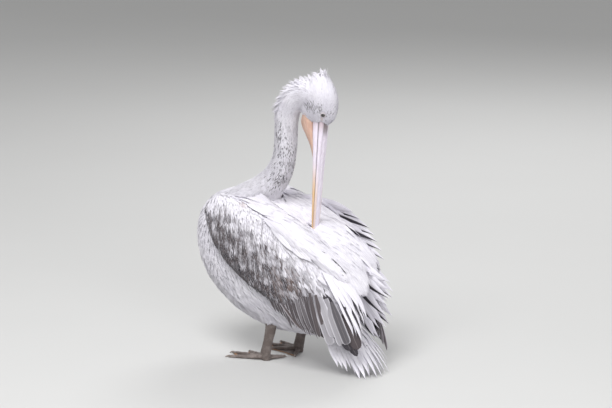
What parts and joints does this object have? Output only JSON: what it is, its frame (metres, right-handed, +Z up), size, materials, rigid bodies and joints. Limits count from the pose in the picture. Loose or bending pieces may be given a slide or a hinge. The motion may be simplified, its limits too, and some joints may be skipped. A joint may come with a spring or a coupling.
{
  "type": "life-size still model of a pink-backed pelican",
  "caption": "Life-size still model of a standing pelican that has turned its head right round and preens its back, with the long bill pointing down.",
  "frame": {"origin": "on the floor, under the middle of the bounding box", "axes": "+Z up, the breast and the toes face -Y, the tail lies towards +Y, the bird's own left side is +X"},
  "size_m": [0.33, 0.6146, 0.8064],
  "materials": {
    "plumage": "soft white feathers, a little lilac in the shade",
    "wing_plumage": "mottled grey wing feathers with pale edges",
    "bill": "satin pinkish horn, yellower towards the tip",
    "pouch": "folded bare skin, peach",
    "leg": "scaled skin, greyish pink",
    "eye": "wet dark brown eye"
  },
  "bodies": {
    "root": {"bill_upper": "bill", "bill_lower": "bill", "eye_left": "eye", "eye_right": "eye", "head": "plumage", "throat_pouch": "pouch", "shank_left": "leg", "shank_right": "leg", "foot_left": "leg", "foot_right": "leg", "thigh_left": "plumage", "thigh_right": "plumage", "trunk": "plumage", "neck_lower": "plumage", "neck_upper": "plumage", "wing_left": "wing_plumage", "wing_right": "wing_plumage", "scapulars_left": "plumage", "scapulars_right": "plumage", "tertials_right": "plumage", "secondaries_right": "plumage", "tail": "plumage", "primaries_left": "wing_plumage", "tertials_left": "plumage", "primaries_right": "wing_plumage"}
  },
  "joints": []
}
